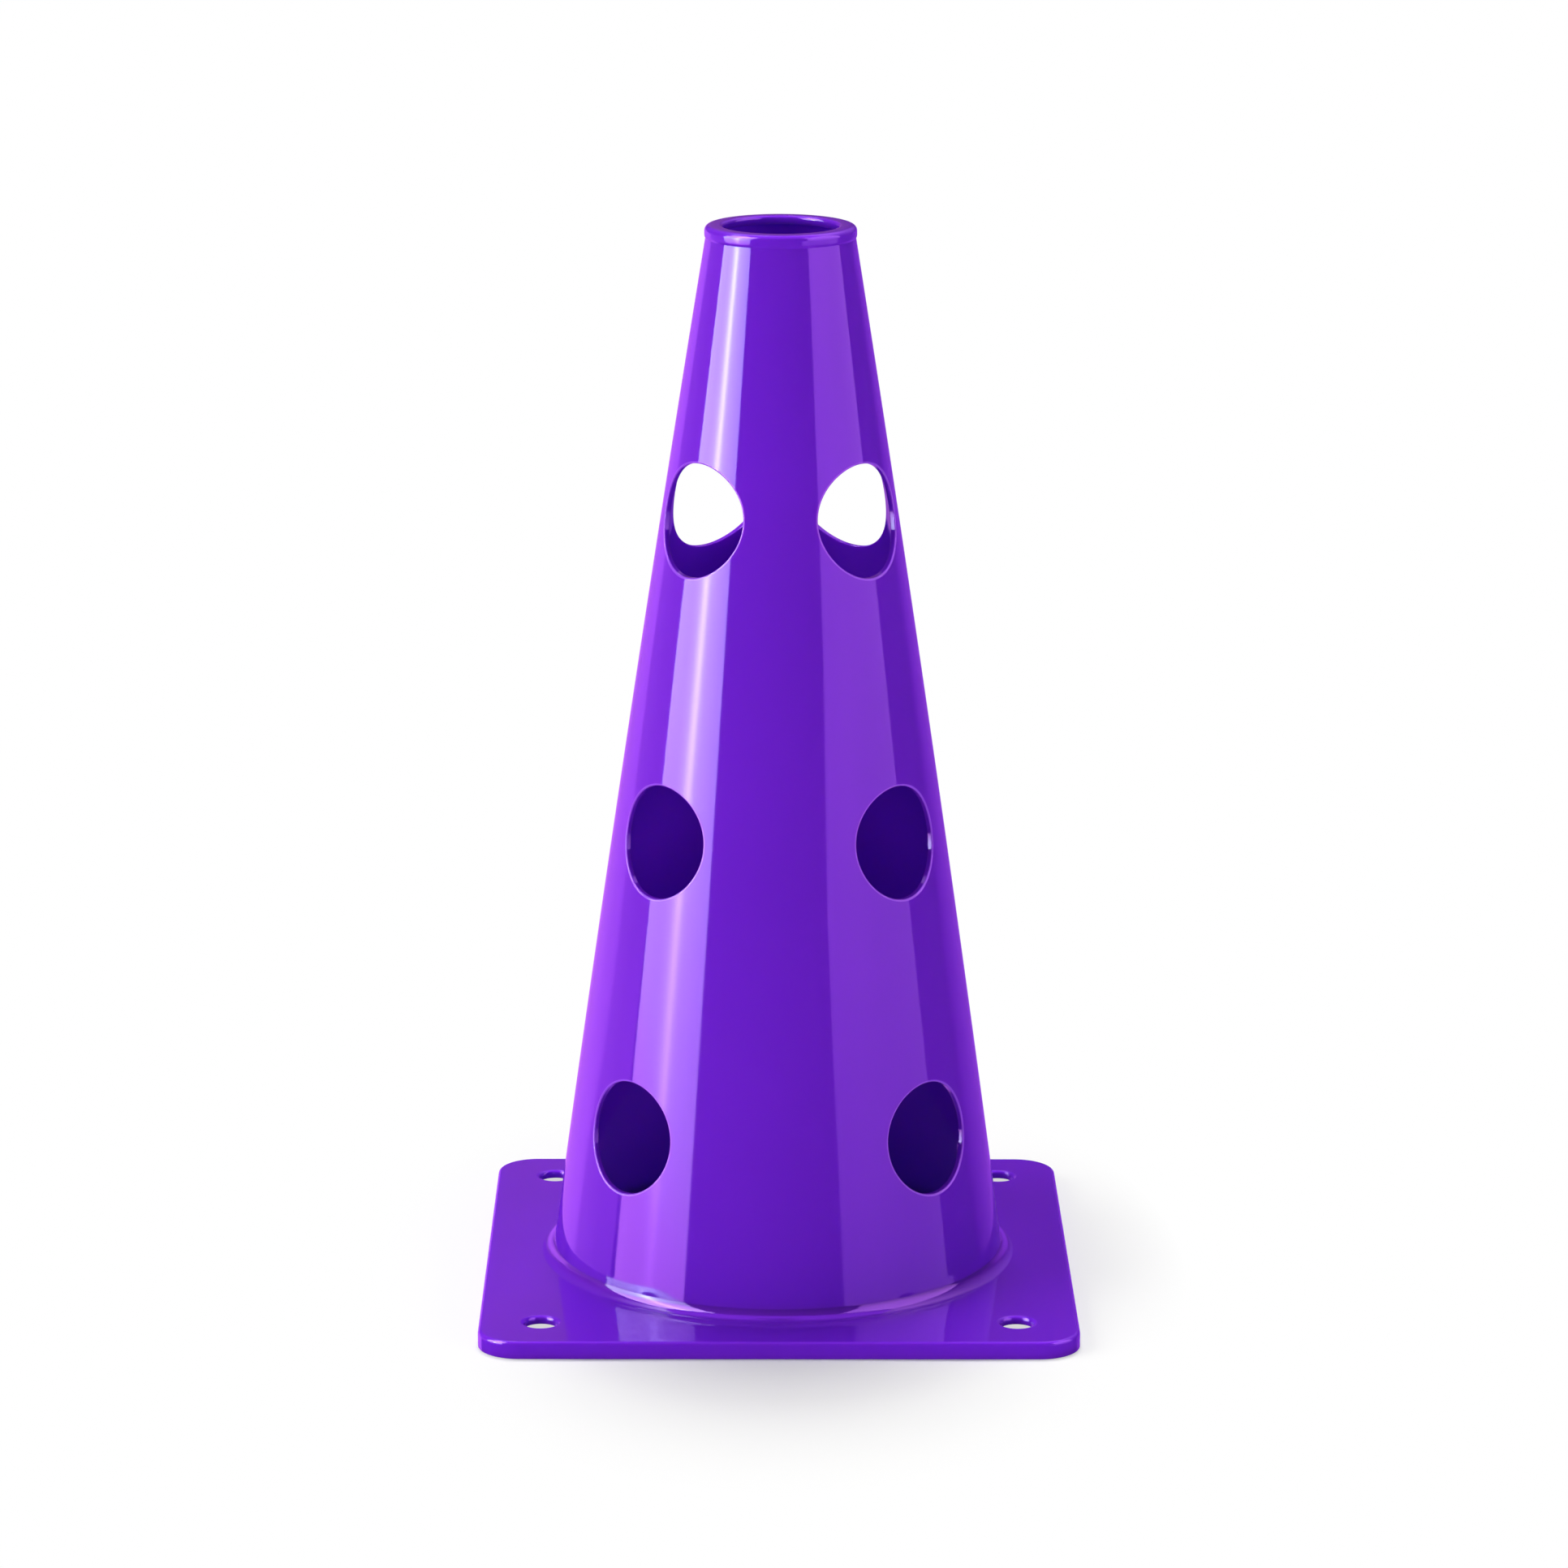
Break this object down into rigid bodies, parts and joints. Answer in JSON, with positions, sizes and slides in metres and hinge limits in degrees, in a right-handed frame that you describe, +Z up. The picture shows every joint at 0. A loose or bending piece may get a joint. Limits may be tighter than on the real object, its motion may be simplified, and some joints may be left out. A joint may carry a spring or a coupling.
{
  "type": "training cone with pole holes",
  "caption": "Tapered hollow training cone on a square base plate, with round side holes for cross poles, an open top for an upright pole and corner peg holes.",
  "frame": {"origin": "centre of the base, on the ground", "axes": "+Z up along the cone's axis, -Y towards the side with three rows of holes, +X along the front edge of the base"},
  "size_m": [0.21, 0.21, 0.38],
  "materials": {
    "cone_plastic": "high gloss moulded polyethylene, purple",
    "plate_plastic": "high gloss moulded polyethylene, purple"
  },
  "bodies": {
    "root": {"cone_body": "cone_plastic", "base_plate": "plate_plastic"}
  },
  "joints": []
}
